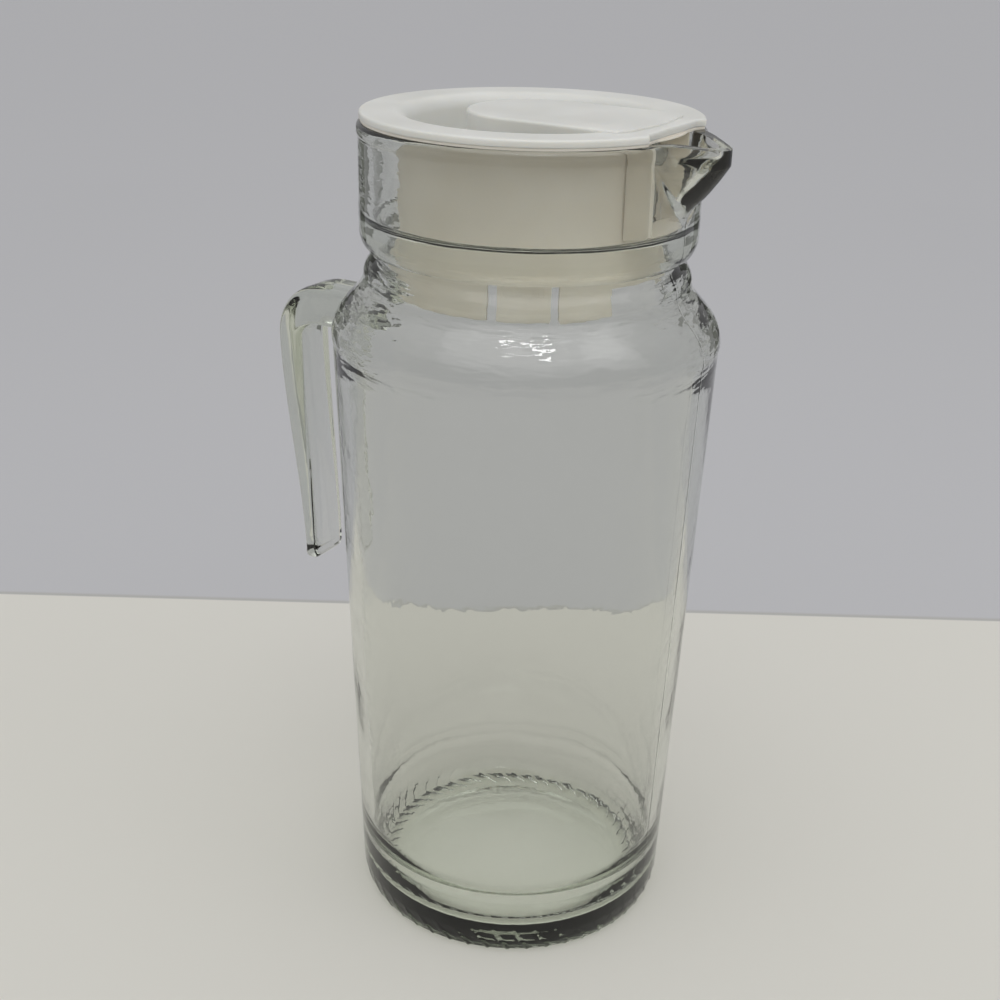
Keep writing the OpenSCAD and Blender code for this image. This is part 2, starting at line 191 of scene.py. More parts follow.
def jugOutline(v):
    waistZ = v["height"] - v["collarHeight"]
    neckZ = waistZ - v["neckDrop"]
    shoulderZ = neckZ - v["shoulderDrop"]
    ledgeZ = v["height"] - v["ledgeDepth"]
    boreZ = ledgeZ - v["boreHeight"]
    waistR = v["collarRadius"] - v["waistIn"]
    collarBore = v["collarRadius"] - v["wall"]
    neckBore = waistR - v["wall"] + v["clear"]
    shoulderR = v["bodyRadius"] + v["beadOut"]
    rimR = v["collarRadius"] + v["rimOut"]
    wall, low, top = v["wall"], v["beadHalf"], v["height"]
    slope = (v["bodyRadius"] - v["heelRadius"]) / (shoulderZ - low - v["heelHeight"])
    lean = radians(v["thickAngle"])
    lowR = v["heelRadius"] - wall + slope * (v["thickHeight"] - v["heelHeight"])
    cornerZ = v["base"] + v["floorRound"] * (1 - sin(lean))
    floorR = lowR - (v["thickHeight"] - cornerZ) * tan(lean) - v["floorRound"] * cos(lean)
    inner = v["footRadius"] - v["footWidth"]

    # From the punt out over the ring, up the outside, over the rim and down the inside to the floor
    ball = (inner ** 2 + v["punt"] ** 2) / (2 * v["punt"])
    line = arc((0, v["punt"] - ball), ball, ball, 90, 90 - degrees(atan2(inner, ball - v["punt"])), 16)[:-1]
    line += straight((inner, 0), (v["footRadius"], 0), 9)[:-1]
    line += arc((v["footRadius"], v["heelHeight"]), v["heelRadius"] - v["footRadius"], v["heelHeight"], -90, 0, 11)
    line += straight((v["heelRadius"], v["heelHeight"]), (v["bodyRadius"], shoulderZ - low), 22)[1:]
    line += bend((v["bodyRadius"], shoulderZ - low), (v["bodyRadius"], shoulderZ - low * roundPull),
                 (shoulderR, shoulderZ - low * roundPull), (shoulderR, shoulderZ), 6)[1:]
    line += bend((shoulderR, shoulderZ), (shoulderR, shoulderZ + v["shoulderDrop"] * v["shoulderPull"]),
                 (v["neckRadius"], neckZ - v["shoulderDrop"] * v["neckPull"]), (v["neckRadius"], neckZ), 16)[1:]
    line += bend((v["neckRadius"], neckZ), (v["neckRadius"], neckZ + v["neckDrop"] * roundPull),
                 (waistR, waistZ - v["neckDrop"] * roundPull), (waistR, waistZ), 8)[1:]
    line += bend((waistR, waistZ), (v["collarRadius"] - v["waistIn"] * roundPull, waistZ),
                 (v["collarRadius"], waistZ + v["collarRound"] * roundPull),
                 (v["collarRadius"], waistZ + v["collarRound"]), 8)[1:]
    line += straight((v["collarRadius"], waistZ + v["collarRound"]), (v["collarRadius"], top - 4.5), 26)[1:]
    line += bend((v["collarRadius"], top - 4.5), (v["collarRadius"], top - 3.2),
                 (rimR, top - 3.4), (rimR, top - 2.4), 4)[1:]
    line += arc((rimR - v["rimRound"], top - v["rimRound"]), v["rimRound"], v["rimRound"], 0, 90, 6)[1:]
    line += straight((rimR - v["rimRound"], top), (collarBore + v["rimRound"], top), 3)[1:-1]
    line += arc((collarBore + v["rimRound"], top - v["rimRound"]), v["rimRound"], v["rimRound"], 90, 180, 6)
    line += straight((collarBore, top - v["rimRound"]), (collarBore, ledgeZ + v["rimRound"]), 26)[1:-1]
    line += arc((collarBore - v["rimRound"], ledgeZ + v["rimRound"]), v["rimRound"], v["rimRound"], 0, -90, 5)
    line += arc((neckBore + v["rimRound"], ledgeZ - v["rimRound"]), v["rimRound"], v["rimRound"], 90, 180, 5)
    line += bend((neckBore, boreZ + v["rimRound"]), (neckBore + v["rimRound"] * 0.2, boreZ - v["rimRound"]),
                 (v["neckRadius"] - wall, neckZ + v["neckDrop"] * 0.3), (v["neckRadius"] - wall, neckZ - wall / 2), 8)
    line += bend((v["neckRadius"] - wall, neckZ - wall / 2),
                 (v["neckRadius"] - wall, neckZ - v["shoulderDrop"] * v["neckPull"]),
                 (shoulderR - wall, shoulderZ - wall / 2 + v["shoulderDrop"] * v["shoulderPull"]),
                 (shoulderR - wall, shoulderZ - wall / 2), 14)[1:]
    creaseTop = (lowR + slope * v["creaseHalf"], v["thickHeight"] + v["creaseHalf"])
    creaseLow = (lowR - tan(lean) * v["creaseHalf"], v["thickHeight"] - v["creaseHalf"])
    creaseTip = lowR - v["creaseHeight"]
    line += straight((v["bodyRadius"] - wall, shoulderZ - wall), creaseTop, 26)
    line += bend(creaseTop, (creaseTip, v["thickHeight"] + v["creaseHalf"] * 0.3),
                 (creaseTip, v["thickHeight"] - v["creaseHalf"] * 0.1), creaseLow, 8)[1:]
    line += straight(creaseLow, (floorR + v["floorRound"] * cos(lean), cornerZ), 3)[1:]
    line += arc((floorR, v["base"] + v["floorRound"]), v["floorRound"], v["floorRound"], -v["thickAngle"], -90, 12)[1:]
    line += straight((floorR, v["base"]), (0, v["base"]), 8)[1:]
    return line


def keelLine(z, s):  # how far out the spout's keel stands at a height
    t = (z - s["keelLow"]) / (s["keelTop"] - s["keelLow"])
    root = jug["collarRadius"] - 0.5
    if t >= 1:
        return s["reach"]
    return root + (s["reach"] - root) * t + s["keelBulge"] * sin(pi * max(t, 0))


def channelLine(z, s):  # how far out the floor of the channel stands at a height
    t = (z - s["channelLow"]) / (s["channelTop"] - s["channelLow"])
    bore = jug["collarRadius"] - jug["wall"]
    if t >= 1:
        return s["channelReach"]
    return bore + (s["channelReach"] - bore) * t


def vee(y, tipRound, slope):  # a V with a rounded tip
    c = tipRound * slope * slope
    return sqrt((y * slope) ** 2 + c * c) - c


def shapeSpout(bm, s):
    middle = jug["collarRadius"] - jug["wall"] / 2
    for vert in bm.verts:
        x, y, z = (c / mm for c in vert.co)
        if x < 20 or z < s["keelLow"] - 6:
            continue
        if hypot(x, y) > middle:
            out = blendMax(x, keelLine(z, s) - vee(y, s["tipRound"], s["sideSlope"]), s["fillet"])
        elif hypot(x, y) > jug["collarRadius"] - jug["wall"] - 0.2:
            out = blendMax(x, channelLine(z, s) - vee(y, s["channelRound"], s["channelSlope"]), s["channelFillet"])
        else:
            continue
        drop = s["dip"] * smoothStep(out, middle, s["reach"]) * smoothStep(z, s["lipHigh"], jug["height"] - 1)
        vert.co = Vector((out, y, z - drop)) * mm


def shapeKnurl(bm, v):  # slanted bars pressed into the ring that the jug stands on
    # The bars fade in and out over the short steps of radius and height given here, in millimetres
    ring = [e for e in bm.edges if all(v["knurlInner"] - 1.2 < hypot(*p.co.xy) / mm < v["heelRadius"] + 0.1
                                       and p.co.z < (v["heelHeight"] + 0.1) * mm for p in e.verts)
            and abs(e.verts[0].co.z - e.verts[1].co.z) < 0.001 * mm
            and abs(e.verts[0].co.xy.length - e.verts[1].co.xy.length) < 0.01 * mm]
    bmesh.ops.subdivide_edges(bm, edges=ring, cuts=3, use_grid_fill=True)
    pitch = 360 / v["knurlBars"]
    for vert in bm.verts:
        r, z = vert.co.xy.length / mm, vert.co.z / mm
        onHeel = r > v["footRadius"] + 0.01 and z > 0.01
        inside = v["knurlInner"] - 1 < r < v["heelRadius"] + 0.1
        if z > v["knurlTop"] + 0.6 or not inside or (z > 4 and not onHeel):
            continue
        angle = degrees(atan2(vert.co.y, vert.co.x)) - v["knurlLean"] * (r - v["knurlInner"] - z)
        off = (angle / pitch - round(angle / pitch)) * radians(pitch) * r
        bar = 0.5 + 0.5 * cos(pi * min(abs(off) / v["knurlHalf"], 1))
        ends = smoothStep(r, v["knurlInner"] - 0.8, v["knurlInner"] + 0.4)
        ends *= 1 - smoothStep(r, v["knurlOuter"] - 0.6, v["knurlOuter"] + 0.8)
        land = smoothStep(r, v["knurlInner"] - 1, v["knurlInner"]) * (1 - smoothStep(z, 0.6, 4))
        if onHeel:
            flute = v["knurlHeel"] * smoothStep(z, 0.4, 1.6)
            flute *= 1 - smoothStep(z, v["knurlTop"] - 1.5, v["knurlTop"])
            vert.co.xy -= vert.co.xy.normalized() * flute * (1 - bar) * mm
        vert.co.z += v["knurlHeight"] * land * (1 - bar * ends) * mm


def shapeSeam(bm, v):  # fine line where the two halves of the mould met
    outer = [f for f in bm.faces if f.calc_center_median().xy.length > (v["heelRadius"] - 3) * mm
             or f.calc_center_median().z < 2 * mm]
    for side in (-1, 1):
        parts = outer + list({e for f in outer for e in f.edges}) + list({p for f in outer for p in f.verts})
        cut = bmesh.ops.bisect_plane(bm, geom=parts, dist=0.0001 * mm, plane_no=(0, 1, 0),
                                     plane_co=(0, side * v["seamHalf"] * mm, 0))
        outer = [g for g in cut["geom"] if isinstance(g, bmesh.types.BMFace)]
    bm.normal_update()
    for vert in bm.verts:
        onSeam = abs(vert.co.y) < 0.02 * mm and 6 * mm < vert.co.z < (v["height"] - 3) * mm
        onOutside = vert.co.xy.length > v["heelRadius"] * mm * 0.9 and vert.normal.dot(vert.co.xy.to_3d()) > 0
        if onSeam and onOutside and -v["bodyRadius"] < vert.co.x / mm < spout["reach"] - 1.5:
            vert.co += vert.normal * v["seamHeight"] * (1 if vert.co.x > 0 else v["seamBack"]) * mm


def shapeWaves(bm, v):  # the inside of a pressed jug is never quite true
    for vert in bm.verts:
        r, z = vert.co.xy.length / mm, vert.co.z / mm
        onInside = vert.normal.dot(vert.co.xy.to_3d()) < 0 and v["waveInner"] < r < v["bodyRadius"] - v["wall"] / 2
        if onInside and v["waveFrom"] < z < v["waveTo"]:
            push = noise.noise(vert.co / mm / v["waveLength"]) * v["waveHeight"]
            push *= 1 + v["waveNeck"] * smoothStep(z, 150, 178)
            push *= smoothStep(z, v["waveFrom"], 30)
            push *= 1 - smoothStep(z, 180, v["waveTo"])
            vert.co.xy += vert.co.xy.normalized() * push * mm


handle = {
    "top": 187.0, "arm": 12.7, "reach": 85.0, "upper": 9.4, "lower": 5.0, "lean": 7.9,
    "end": 94.0, "width": 16.0, "endWidth": 15.0, "root": 52.4, "flare": 2.6, "flareRun": 6.0,
    "outerRound": 17.0, "innerRound": 4.6, "edgePower": 5.0, "endFlare": 1.0, "ringSteps": 40,
    "armSteps": 10, "turnSteps": 18, "dropSteps": 30,
}


def handleStations(h):
    # Pairs of points on the outer and the inner face, and the strap's width there
    under = h["top"] - h["arm"]
    inner = h["reach"] - h["upper"]
    outEnd, inEnd = h["reach"] - h["lean"], h["reach"] - h["lean"] - h["lower"]
    low = h["end"] + 3.4
    armOut = straight((h["root"], h["top"]), (h["reach"] - h["outerRound"], h["top"]), h["armSteps"])
    armIn = straight((h["root"], under), (inner - h["innerRound"], under), h["armSteps"])
    turnOut = bend((h["reach"] - h["outerRound"], h["top"]), (h["reach"] - h["outerRound"] * roundPull, h["top"]),
                   (h["reach"], h["top"] - h["outerRound"] * roundPull),
                   (h["reach"], h["top"] - h["outerRound"]), h["turnSteps"])[1:]
    turnIn = bend((inner - h["innerRound"], under), (inner - h["innerRound"] * roundPull, under),
                  (inner, under - h["innerRound"] * roundPull), (inner, under - h["innerRound"]), h["turnSteps"])[1:]
    run = h["top"] - h["outerRound"] - low
    dropOut = bend((h["reach"], h["top"] - h["outerRound"]),
                   (h["reach"] - 0.4, h["top"] - h["outerRound"] - run * 0.3),
                   (outEnd + 1.2, low + run * 0.34), (outEnd, low), h["dropSteps"])[1:]
    dropIn = bend((inner, under - h["innerRound"]), (inner - 0.3, under - h["innerRound"] - run * 0.3),
                  (inEnd + 0.7, low + run * 0.34), (inEnd, low), h["dropSteps"])[1:]
    stations = []
    for o, i in zip(armOut + turnOut + dropOut, armIn + turnIn + dropIn):
        down = smoothStep(under - (o[1] + i[1]) / 2, 0, under - low)
        stations.append([Vector(o), Vector(i), h["width"] + (h["endWidth"] - h["width"]) * down])
    for station in stations[:h["armSteps"] + 1]:  # the arm widens where it leaves the body
        spread = h["flare"] * (1 - smoothStep(station[0].x - h["root"], 0, h["flareRun"])) ** 2
        station[0].y += spread * 0.5
        station[1].y -= spread
        station[2] += spread * 2
    last = stations[-1]
    for k in range(1, 7):  # the free end: a small lip outwards, then rounded off
        a = radians(15 * k)
        o = Vector((outEnd + h["endFlare"] * sin(min(2 * a, pi)) * 0.6, low - (low - h["end"]) * sin(a)))
        i = Vector((inEnd, low - (low - h["end"]) * sin(a)))
        middle = (o + i) / 2
        shrink = max(cos(a), 0.12) ** 0.6
        stations.append([middle + (o - middle) * shrink, middle + (i - middle) * shrink,
                         last[2] - (1 - shrink) * h["lower"]])
    return stations


def makeHandle(h):
    bm = bmesh.new()
    made = bmesh.ops.create_circle(bm, cap_ends=False, segments=h["ringSteps"], radius=1)
    unit = []
    for vert in made["verts"]:
        a, b = vert.co.x, vert.co.y
        unit.append((abs(a) ** (2 / h["edgePower"]) * (1 if a > 0 else -1) if abs(a) > 1e-6 else 0,
                     abs(b) ** (2 / h["edgePower"]) * (1 if b > 0 else -1) if abs(b) > 1e-6 else 0))

    def place(ring, station):
        outer, inner, width = station
        for vert, (a, b) in zip(ring, unit):
            p = (outer + inner) / 2 + (outer - inner) / 2 * a
            vert.co = Vector((-p.x, b * width / 2, p.y)) * mm

    stations = handleStations(h)
    ring = made["verts"]
    first = list({e for v in ring for e in v.link_edges})
    place(ring, stations[0])
    edges = first
    for station in stations[1:]:
        grown = bmesh.ops.extrude_edge_only(bm, edges=edges)
        fresh = [g for g in grown["geom"] if isinstance(g, bmesh.types.BMVert)]
        edges = [g for g in grown["geom"] if isinstance(g, bmesh.types.BMEdge)]
        follow = []
        for old in ring:
            follow.append(next(e.other_vert(old) for e in old.link_edges if e.other_vert(old) in fresh))
        ring = follow
        place(ring, station)
    bmesh.ops.edgeloop_fill(bm, edges=first)
    bmesh.ops.edgeloop_fill(bm, edges=edges)
    bmesh.ops.recalc_face_normals(bm, faces=bm.faces)
    return finishObject(bm, "handlePart", jug["sharpAngle"])


def makeJug():
    turned = spinOutline(jugOutline(jug), jug["fineHalf"], jug["fineSteps"], jug["coarseSteps"])
    body = finishObject(turned, "jugBody", jug["sharpAngle"])
    combine(body, makeHandle(handle), "UNION")
    bm = openMesh(body, jug["merge"] * mm)
    shapeSpout(bm, spout)
    shapeKnurl(bm, jug)
    shapeWaves(bm, jug)
    shapeSeam(bm, jug)
    bmesh.ops.recalc_face_normals(bm, faces=bm.faces)
    return replacePiece(body, bm, "jugGlass", jug["sharpAngle"])


jugGlass = makeJug()
print("glass jug made:", len(jugGlass.data.polygons), "faces")


# Lid cap: white moulding with a finger well, a tongue grip and a sleeve that turns in the insert
cap = {
    "flangeRadius": 46.7, "low": 243.0, "top": 245.0, "edgeRound": 0.7,
    "wellDepth": 15.0, "wellRound": 4.0, "sleeveRadius": 34.7, "wall": 1.2, "sleeveLow": 207.3,
    "snap": 0.6, "snapHeight": 1.4, "windowHalf": 11.8, "windowLow": 217.3,
    "tongueHalf": 19.3, "tongueBack": 17.4, "tongueRise": 0.6, "tongueRound": 0.8, "under": 243.8,
    "notchHalf": 16.8, "notchDepth": 4.9, "notchRound": 3.0,
    "fineHalf": 26.0, "fineSteps": 104, "coarseSteps": 180, "discSteps": 160, "sharpAngle": 40,
}


def notchReach(angle, v, radius):  # radius of the flange at an angle, where the notch opens over the spout
    x = v["flangeRadius"] - v["notchDepth"]
    y = abs(x * sin(angle) / max(cos(angle), 0.01))
    side = v["notchHalf"]
    full = x / max(cos(angle), 0.01)
    if y < side - v["notchRound"]:
        return min(full, radius)
    t = smoothStep(y, side - v["notchRound"], side + 0.4)
    return min(full + (radius - full) * t ** 1.5, radius)


def shapeNotch(bm, v, radius, inside, low):
    for vert in bm.verts:
        x, y, z = (c / mm for c in vert.co)
        r = hypot(x, y)
        if x < 0 or r < inside or z < low:
            continue
        reach = notchReach(atan2(y, x), v, radius)
        scaled = inside + (r - inside) * (reach - inside) / (radius - inside)
        vert.co.xy *= scaled / r


def capOutline(v):
    inner = v["sleeveRadius"] - v["wall"]
    line = [(inner, v["sleeveLow"]), (v["sleeveRadius"] + v["snap"] * 0.4, v["sleeveLow"]),
            (v["sleeveRadius"] + v["snap"], v["sleeveLow"] + v["snapHeight"] * 0.5),
            (v["sleeveRadius"] + v["snap"], v["sleeveLow"] + v["snapHeight"]),
            (v["sleeveRadius"], v["sleeveLow"] + v["snapHeight"])]
    line += straight((v["sleeveRadius"], v["sleeveLow"] + v["snapHeight"]), (v["sleeveRadius"], v["low"] - 0.4), 12)[1:]
    line += arc((v["sleeveRadius"] + 0.4, v["low"] - 0.4), 0.4, 0.4, 180, 90, 3)[1:]
    line += straight((v["sleeveRadius"] + 0.4, v["low"]), (v["flangeRadius"] - 0.3, v["low"]), 8)[1:]
    line += arc((v["flangeRadius"] - 0.3, v["low"] + 0.3), 0.3, 0.3, -90, 0, 3)[1:]
    line += arc((v["flangeRadius"] - v["edgeRound"], v["top"] - v["edgeRound"]),
                v["edgeRound"], v["edgeRound"], 0, 90, 6)
    line += straight((v["flangeRadius"] - v["edgeRound"], v["top"]), (inner + v["wellRound"], v["top"]), 7)[1:-1]
    line += arc((inner + v["wellRound"], v["top"] - v["wellRound"]), v["wellRound"], v["wellRound"], 90, 180, 12)
    line += straight((inner, v["top"] - v["wellRound"]), (inner, v["sleeveLow"]), 10)[1:-1]
    return line


def tonguePlan(bm, v, inset, z, reach):  # outline of the grip: a half disc with a straight run towards the spout
    half = v["tongueHalf"] - inset
    centre = v["tongueHalf"] - v["tongueBack"]
    points = [(centre + half * cos(a), half * sin(a)) for a in (radians(90 + 180 * i / 48) for i in range(49))]
    points = [(reach, half)] + points + [(reach, -half)]
    return [bm.verts.new((x * mm, y * mm, z * mm)) for x, y in points]


def tongueBlock(v, inset, low, high, reach, rounding, name):
    bm = bmesh.new()
    face = bm.faces.new(tonguePlan(bm, v, inset, low, reach))
    raised = bmesh.ops.extrude_face_region(bm, geom=[face])
    verts = [g for g in raised["geom"] if isinstance(g, bmesh.types.BMVert)]
    bmesh.ops.translate(bm, vec=(0, 0, (high - low) * mm), verts=verts)
    if rounding:
        top = [e for e in bm.edges if all(p.co.z > (high - 0.01) * mm for p in e.verts)
               and any(p.co.x < (reach - 0.01) * mm for p in e.verts)]
        bmesh.ops.bevel(bm, geom=top, offset=rounding * mm, offset_type="OFFSET", affect="EDGES",
                        segments=5, profile=0.5, material=-1, clamp_overlap=True)
    bmesh.ops.recalc_face_normals(bm, faces=bm.faces)
    return finishObject(bm, name)


def boxPart(low, high, name):
    bm = bmesh.new()
    bmesh.ops.create_cube(bm, size=1)
    size = [(b - a) * mm for a, b in zip(low, high)]
    middle = [(a + b) / 2 * mm for a, b in zip(low, high)]
    bmesh.ops.scale(bm, vec=size, verts=bm.verts)
    bmesh.ops.translate(bm, vec=middle, verts=bm.verts)
    return finishObject(bm, name)


def discPart(radius, low, high, steps, name):
    bm = bmesh.new()
    bmesh.ops.create_cone(bm, cap_ends=True, segments=steps, radius1=radius * mm, radius2=radius * mm,
                          depth=(high - low) * mm)
    bmesh.ops.translate(bm, vec=(0, 0, (low + high) / 2 * mm), verts=bm.verts)
    return finishObject(bm, name)


def makeCap(v):
    turned = spinOutline(capOutline(v), v["fineHalf"], v["fineSteps"], v["coarseSteps"], closed=True)
    shell = finishObject(turned, "capShell")
    wellZ = v["top"] - v["wellDepth"]
    combine(shell, discPart(v["sleeveRadius"] - 0.5, wellZ - v["wall"], wellZ, 120, "wellFloor"), "UNION")
    tongue = tongueBlock(v, 0, wellZ - v["wall"], v["top"] + v["tongueRise"], 42, v["tongueRound"], "tongue")
    limit = discPart(v["sleeveRadius"] + 5.6, wellZ - 2 * v["wall"], v["top"] + 2, v["discSteps"], "tongueLimit")
    combine(tongue, limit, "INTERSECT")
    low = boxPart((30, -30, wellZ - 3), (50, 30, v["low"]), "underFlange")
    ring = discPart(v["sleeveRadius"] - 0.5, wellZ - 5, v["low"] + 0.01, v["discSteps"], "ringLimit")
    combine(low, ring, "DIFFERENCE")
    combine(tongue, low, "DIFFERENCE")
    combine(shell, tongue, "UNION")
    cavity = tongueBlock(v, v["wall"], wellZ - v["wall"] - 1, v["under"], 60, 0, "cavity")
    limit = discPart(v["sleeveRadius"] - v["wall"] + 0.02, wellZ - 6, v["under"] + 1, v["discSteps"], "cavityLimit")
    combine(cavity, limit, "INTERSECT")
    combine(shell, cavity, "DIFFERENCE")
    window = boxPart((0, -v["windowHalf"], v["windowLow"]),
                     (v["sleeveRadius"] + 1, v["windowHalf"], v["low"] - 0.02), "window")
    combine(shell, window, "DIFFERENCE")
    bm = openMesh(shell, mergeDistance)
    shapeNotch(bm, v, v["flangeRadius"], v["sleeveRadius"] + 2, v["low"] - 1)
    return replacePiece(shell, bm, "lidCap", v["sharpAngle"])


lidCap = makeCap(cap)
print("lid cap made:", len(lidCap.data.polygons), "faces")


# Pouring insert: cream moulding under the cap, with its window, guides and springy fingers
insert = {
    "flangeRadius": 46.4, "low": 242.2, "top": 243.0, "skirt": 36.2, "wall": 1.2,
    "step": 209.0, "finger": 38.0, "fingerLow": 196.8, "lug": 39.5, "lugHeight": 5.5, "lugHalf": 7.7,
    "slots": ((49.5, 2.1), (73.9, 2.6)), "apronHalf": 25.6, "apron": 4.5,
    "windowHalf": 11.5, "sill": 217.3, "guideRadius": 42.8, "cornerRound": 1.5, "endRound": 0.8,
    "notchHalf": 16.8, "notchDepth": 4.6, "notchRound": 3.0,
    "fineHalf": 26.0, "fineSteps": 104, "coarseSteps": 180, "sharpAngle": 40,
}


def insertOutline(v):
    skirtIn, fingerIn = v["skirt"] - v["wall"], v["finger"] - v["wall"]
    line = straight((skirtIn, v["top"]), (skirtIn, v["step"]), 16)
    line += straight((fingerIn, v["step"]), (fingerIn, v["fingerLow"] + 0.3), 6)
    line += arc((fingerIn + 0.3, v["fingerLow"] + 0.3), 0.3, 0.3, 180, 270, 2)[1:]
    line += arc((v["finger"] - 0.3, v["fingerLow"] + 0.3), 0.3, 0.3, -90, 0, 2)
    line += straight((v["finger"], v["fingerLow"] + 0.3), (v["finger"], v["step"] + v["wall"] - 0.8), 6)[1:]
    line += arc((v["finger"] - 0.8, v["step"] + v["wall"] - 0.8), 0.8, 0.8, 0, 90, 4)[1:]
    line += arc((v["skirt"] + 0.5, v["step"] + v["wall"] + 0.5), 0.5, 0.5, 270, 180, 3)
    line += straight((v["skirt"], v["step"] + v["wall"] + 0.5), (v["skirt"], v["low"] - 0.6), 16)[1:]
    line += arc((v["skirt"] + 0.6, v["low"] - 0.6), 0.6, 0.6, 180, 90, 3)[1:]
    line += straight((v["skirt"] + 0.6, v["low"]), (v["flangeRadius"] - 0.25, v["low"]), 8)[1:]
    line += arc((v["flangeRadius"] - 0.25, v["low"] + 0.25), 0.25, 0.25, -90, 0, 2)[1:]
    line += arc((v["flangeRadius"] - 0.25, v["top"] - 0.25), 0.25, 0.25, 0, 90, 2)
    line += straight((v["flangeRadius"] - 0.25, v["top"]), (skirtIn, v["top"]), 8)[1:-1]
    return line


def slotCutter(v, angle, width, name):  # a slot that widens to rounded corners at the fingers' ends
    bm = bmesh.new()
    half, low, high, r = width / 2, v["fingerLow"], v["step"] - 0.6, v["endRound"]
    side = [(half + r + 0.6, low - 1), (half + r, low)]
    side += [(half + r - r * sin(radians(a)), low + r - r * cos(radians(a))) for a in (22, 45, 68, 90)]
    side += [(half, high - 0.4), (half - 0.4, high)]
    outline = side + [(-a, b) for a, b in reversed(side)]
    face = bm.faces.new([bm.verts.new(((v["skirt"] - 3) * mm, a * mm, b * mm)) for a, b in outline])
    deep = bmesh.ops.extrude_face_region(bm, geom=[face])
    bmesh.ops.translate(bm, vec=(8 * mm, 0, 0), verts=[g for g in deep["geom"] if isinstance(g, bmesh.types.BMVert)])
    bmesh.ops.rotate(bm, cent=(0, 0, 0), matrix=Matrix.Rotation(radians(angle), 3, "Z"), verts=bm.verts)
    bmesh.ops.recalc_face_normals(bm, faces=bm.faces)
    return finishObject(bm, name)


def sectorPart(points, start, end, steps, name, rounding=0):  # a closed outline swept through part of a turn
    bm = outlineChain(points, radians(start), closed=True)
    first = bm.edges[:]
    turned = bmesh.ops.spin(bm, geom=bm.verts[:] + bm.edges[:], cent=(0, 0, 0), axis=(0, 0, 1),
                            angle=radians(end - start), steps=steps)
    last = [g for g in turned["geom_last"] if isinstance(g, bmesh.types.BMEdge)]
    bmesh.ops.edgeloop_fill(bm, edges=first)
    bmesh.ops.edgeloop_fill(bm, edges=last)
    bmesh.ops.recalc_face_normals(bm, faces=bm.faces)
    if rounding:
        sharp = [e for e in bm.edges if e.calc_face_angle(0) > radians(30)]
        bmesh.ops.bevel(bm, geom=sharp, offset=rounding * mm, offset_type="OFFSET", affect="EDGES",
                        segments=2, profile=0.5, material=-1, clamp_overlap=True)
    return finishObject(bm, name)


def makeInsert(v):
    bm = spinOutline(insertOutline(v), v["fineHalf"], v["fineSteps"], v["coarseSteps"], closed=True)
    shapeNotch(bm, v, v["flangeRadius"], v["skirt"] + 1, v["low"] - 0.5)
    body = finishObject(bm, "insertBody")
    skirtIn = v["skirt"] - v["wall"]
    side = v["windowHalf"] + v["wall"]
    guide = boxPart((skirtIn - 0.6, -side, v["sill"]), (v["guideRadius"] + 2, side, v["low"] + 0.4), "guide")
    space = sectorPart([(skirtIn - 1, v["sill"] - 1), (v["guideRadius"] - v["cornerRound"] - 1, v["sill"] - 1),
                        (v["guideRadius"], v["sill"] + v["cornerRound"]), (v["guideRadius"], v["top"] + 1),
                        (skirtIn - 1, v["top"] + 1)], -30, 30, 60, "guideSpace")
    combine(guide, space, "INTERSECT")
    combine(body, guide, "UNION")
    opening = boxPart((20, -v["windowHalf"], v["sill"] + v["wall"]), (60, v["windowHalf"], v["low"] + 0.05), "opening")
    combine(body, opening, "DIFFERENCE")
    lugTop = v["step"] - 0.3
    for s in (-1, 1):
        middle = s * (v["slots"][0][0] + v["slots"][1][0]) / 2
        wedge = [(v["finger"] - 0.6, lugTop - v["lugHeight"] - 0.3), (v["finger"], lugTop - v["lugHeight"]),
                 (v["lug"], lugTop - 0.6), (v["lug"], lugTop), (v["finger"] - 0.6, lugTop)]
        combine(body, sectorPart(wedge, middle - v["lugHalf"], middle + v["lugHalf"], 16, "lug"), "UNION")
        for angle, width in v["slots"]:
            combine(body, slotCutter(v, s * angle, width, "slot"), "DIFFERENCE")
    low = v["fingerLow"]
    apronTop = v["step"] - v["apron"] + 0.05
    apron = sectorPart([(skirtIn - 1, low - 1), (v["finger"] + 1, low - 1), (v["finger"] + 1, apronTop),
                        (skirtIn - 1, apronTop)], -v["apronHalf"], v["apronHalf"], 52, "apronCut")
    combine(body, apron, "DIFFERENCE")
    return replacePiece(body, openMesh(body, mergeDistance), "pourInsert", v["sharpAngle"])


pourInsert = makeInsert(insert)
print("pouring insert made:", len(pourInsert.data.polygons), "faces")


# Materials
def toLinear(hexText):
    parts = [int(hexText[i:i + 2], 16) / 255 for i in (1, 3, 5)]
    return tuple(c / 12.92 if c <= 0.04045 else ((c + 0.055) / 1.055) ** 2.4 for c in parts) + (1,)


def addNode(material, kind, settings=None, links=None):
    # settings are the node's own properties or its input values; links join an output to an input
    tree = material.node_tree
    node = tree.nodes.new(kind)
    for key, value in (settings or {}).items():
        if key in node.inputs:
            node.inputs[key].default_value = value
        else:
            setattr(node, key, value)
    for key, source in (links or {}).items():
        tree.links.new(source, node.inputs[key])
    return node


def newMaterial(name):
    material = bpy.data.materials.new(name)
    material.use_nodes = True
    material.node_tree.nodes.clear()
    return material


glassLook = {
    "tint": "#F9F9F8", "depth": "#B9C4AC", "density": 28.0, "ior": 1.51, "roughness": 0.0,
    "shade": "#FDFDFC", "rippleSize": 3.2, "rippleDepth": 0.018, "orangeSize": 11.0, "orangeDepth": 0.05,
    "streakSize": 16.0, "streakFlat": 5.0, "streakDepth": 0.45,
    "streakLow": 172.0, "streakHigh": 209.0, "streakCollar": 0.3,
}


